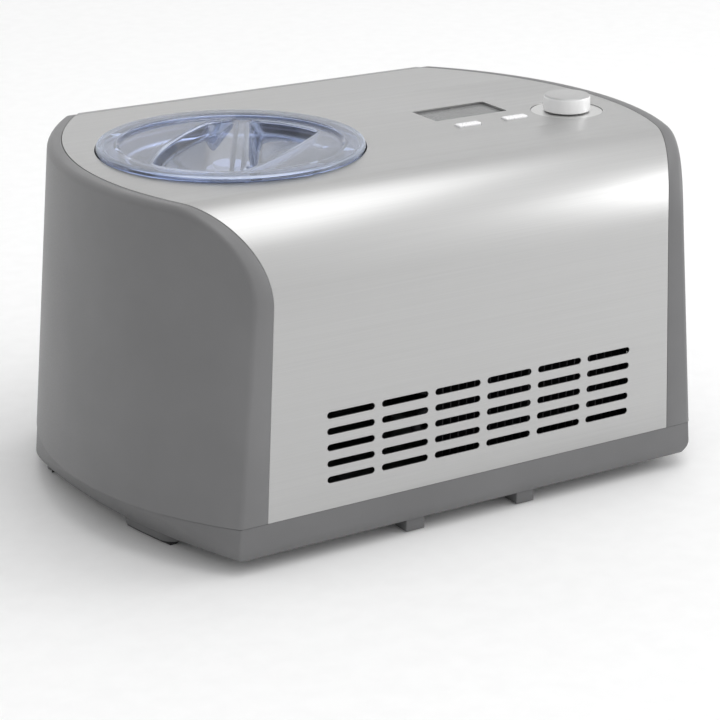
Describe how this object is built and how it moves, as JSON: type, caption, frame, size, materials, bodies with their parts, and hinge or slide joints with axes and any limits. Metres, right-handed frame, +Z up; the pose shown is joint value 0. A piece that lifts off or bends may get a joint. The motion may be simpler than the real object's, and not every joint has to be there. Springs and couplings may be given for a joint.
{
  "type": "ice cream maker",
  "caption": "Countertop compressor ice cream maker: bowed steel and grey casing, clear lid over a lift-out bowl, driven paddle, display, buttons and knob.",
  "frame": {"origin": "centre of the footprint, on the worktop under the feet", "axes": "+X to the machine's right, -Y out of the front, +Z up"},
  "size_m": [0.425, 0.276, 0.2245],
  "materials": {
    "wrap_steel": "fine horizontal brushing, satin",
    "cover_plastic": "satin silver-grey moulding",
    "rim_plastic": "satin silver-grey rear moulding",
    "base_plastic": "satin mid-grey moulding with a fine texture",
    "foot_rubber": "matt",
    "collar_plastic": "satin black",
    "lid_clear": "clear with a faint blue-violet tint",
    "bowl_metal": "spun, satin",
    "handle_wire": "polished wire",
    "paddle_plastic": "white food-safe plastic",
    "drum_metal": "plain drawn sheet",
    "copper": "bare copper tube",
    "foam_charcoal": "moulded charcoal foam",
    "frame_zinc": "zinc-plated sheet",
    "bush_bronze": "sintered",
    "seal_rubber": "matt",
    "shaft_steel": "ground",
    "gear_plastic": "natural acetal",
    "black_plastic": "moulded black",
    "laminations": "stacked laminations",
    "compressor_paint": "black enamel",
    "fin_coated": "black-coated fins and tube",
    "board_green": "solder mask",
    "lcd_glass": "grey-green liquid crystal cell",
    "window_clear": "clear tinted window",
    "button_plastic": "silver lacquer",
    "dial_steel": "satin disc",
    "knob_metal": "satin, spun sides",
    "wire_pvc": "insulated wire"
  },
  "bodies": {
    "root": {"steel_wrap": "wrap_steel", "left_side_cover": "cover_plastic", "right_side_cover": "cover_plastic", "rear_panel": "rim_plastic", "base_tray": "base_plastic", "rubber_feet": "foot_rubber", "bowl_collar": "collar_plastic", "evaporator_drum": "drum_metal", "evaporator_coil": "copper", "insulation": "foam_charcoal", "support_frame": "frame_zinc", "shaft_bush": "bush_bronze", "shaft_seal": "seal_rubber", "gear_pin": "shaft_steel", "gearbox_housing": "black_plastic", "gearbox_cover": "frame_zinc", "motor_stator": "laminations", "motor_winding": "copper", "motor_bridge": "frame_zinc", "compressor": "compressor_paint", "compressor_mount": "frame_zinc", "compressor_grommets": "seal_rubber", "start_relay": "black_plastic", "condenser": "fin_coated", "fan_shroud": "black_plastic", "fan_motor": "frame_zinc", "filter_drier": "copper", "capillary_tube": "copper", "discharge_pipe": "copper", "suction_pipe": "copper", "control_housing": "rim_plastic", "control_board": "board_green", "lcd_module": "lcd_glass", "display_window": "window_clear", "button_switches": "black_plastic", "dial_plate": "dial_steel", "selector_switch": "black_plastic", "power_board": "board_green", "cord_grommet": "seal_rubber", "wiring_loom": "wire_pvc", "casing_screws": "shaft_steel", "gearbox_screws": "shaft_steel"},
    "bowl": {"mixing_bowl": "bowl_metal"},
    "bowl_handle": {"bowl_handle": "handle_wire"},
    "lid": {"lid": "lid_clear"},
    "paddle": {"paddle": "paddle_plastic"},
    "drive_shaft": {"drive_shaft": "shaft_steel", "output_gear": "gear_plastic"},
    "intermediate_gear": {"intermediate_gear": "gear_plastic"},
    "motor_rotor": {"motor_rotor": "shaft_steel", "motor_pinion": "gear_plastic"},
    "fan": {"fan_impeller": "black_plastic"},
    "knob": {"knob": "knob_metal", "selector_shaft": "shaft_steel"},
    "left_button": {"left_button": "button_plastic"},
    "right_button": {"right_button": "button_plastic"}
  },
  "joints": [
    {"name": "bowl_lift", "type": "slide", "parent": "root", "child": "bowl", "axis": [0, 0, 1], "range_m": [0, 0.13]},
    {"name": "lid_lift", "type": "slide", "parent": "bowl", "child": "lid", "axis": [0, 0, 1], "range_m": [0, 0.12]},
    {"name": "handle_fold", "type": "hinge", "parent": "bowl", "child": "bowl_handle", "pos_m": [-0.086, 0.011, 0.202], "axis": [1, 0, 0], "range_deg": [0, 90]},
    {"name": "paddle_spin", "type": "hinge", "parent": "bowl", "child": "paddle", "pos_m": [-0.086, 0.011, 0.15], "axis": [0, 0, 1], "continuous": true},
    {"name": "shaft_spin", "type": "hinge", "parent": "root", "child": "drive_shaft", "pos_m": [-0.086, 0.011, 0.07], "axis": [0, 0, 1], "continuous": true},
    {"name": "intermediate_spin", "type": "hinge", "parent": "root", "child": "intermediate_gear", "pos_m": [-0.051, 0.011, 0.065], "axis": [0, 0, 1], "continuous": true},
    {"name": "motor_spin", "type": "hinge", "parent": "root", "child": "motor_rotor", "pos_m": [-0.016, 0.011, 0.04], "axis": [0, 0, 1], "continuous": true},
    {"name": "fan_spin", "type": "hinge", "parent": "root", "child": "fan", "pos_m": [0.051, -0.096, 0.078], "axis": [0, -1, 0], "continuous": true},
    {"name": "knob_turn", "type": "hinge", "parent": "root", "child": "knob", "pos_m": [0.1463, -0.0196, 0.216], "axis": [0, 0, -1], "range_deg": [0, 270]},
    {"name": "left_button_press", "type": "slide", "parent": "root", "child": "left_button", "axis": [0, 0, -1], "range_m": [0, 0.0008], "stiffness_N_per_m": 1500},
    {"name": "right_button_press", "type": "slide", "parent": "root", "child": "right_button", "axis": [0, 0, -1], "range_m": [0, 0.0008], "stiffness_N_per_m": 1500}
  ],
  "couplings": [
    {"joint": "handle_fold", "follows": "lid_lift", "rad_per_m": 13},
    {"joint": "shaft_spin", "follows": "paddle_spin", "ratio": 1},
    {"joint": "intermediate_spin", "follows": "paddle_spin", "ratio": -4},
    {"joint": "motor_spin", "follows": "paddle_spin", "ratio": 16}
  ]
}
